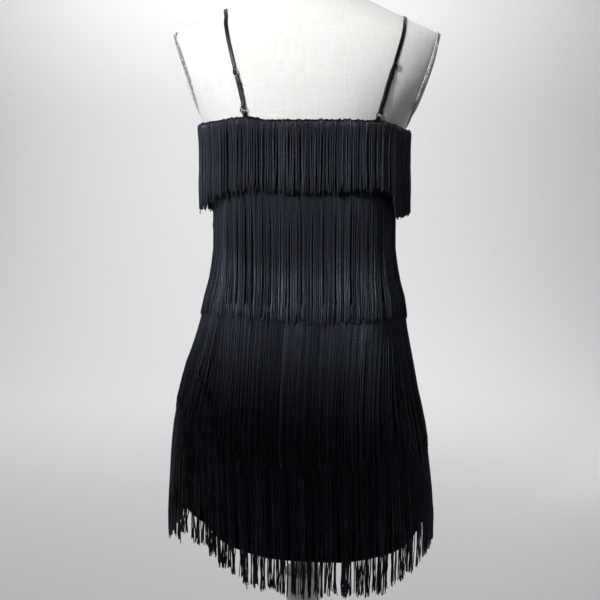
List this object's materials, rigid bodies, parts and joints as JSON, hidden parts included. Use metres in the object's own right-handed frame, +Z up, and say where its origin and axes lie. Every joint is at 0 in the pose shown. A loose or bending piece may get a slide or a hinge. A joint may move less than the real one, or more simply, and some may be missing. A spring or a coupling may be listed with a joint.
{
  "type": "fringe mini dress on a dress form",
  "caption": "Strappy A-line mini dress covered in tiers of long hanging fringe, worn by a limbless canvas dress form on a pole with a round base.",
  "frame": {"origin": "on the floor, under the middle of the stand's base, on the pole's axis", "axes": "+Z up along the pole, +Y towards the wearer's front, so the back of the dress faces -Y, and +X towards the wearer's right-hand side as seen from the back"},
  "size_m": [0.4192, 0.36, 1.372],
  "materials": {
    "slip_cloth": "matt black jersey",
    "fringe_yarn": "twisted black rayon yarn with a soft blue-grey sheen",
    "strap_satin": "black satin with a bright line along its crown",
    "strap_metal": "small black-nickel hardware, polished",
    "form_canvas": "off-white slubbed linen canvas",
    "stand_wood": "light varnished wood",
    "stand_paint": "smooth light grey paint"
  },
  "bodies": {
    "root": {"dress_back": "slip_cloth", "dress_front": "slip_cloth", "fringe_tier_1": "fringe_yarn", "fringe_tier_2": "fringe_yarn", "fringe_tier_3": "fringe_yarn", "fringe_tier_4": "fringe_yarn", "strap_left": "strap_satin", "strap_right": "strap_satin", "tab_left": "strap_satin", "tab_right": "strap_satin", "slider_left": "strap_metal", "slider_right": "strap_metal", "ring_left": "strap_metal", "ring_right": "strap_metal", "form_torso": "form_canvas", "armhole_plate_left": "form_canvas", "armhole_plate_right": "form_canvas", "stand_rod": "stand_wood", "stand_pole": "stand_paint", "stand_base": "stand_paint"}
  },
  "joints": []
}
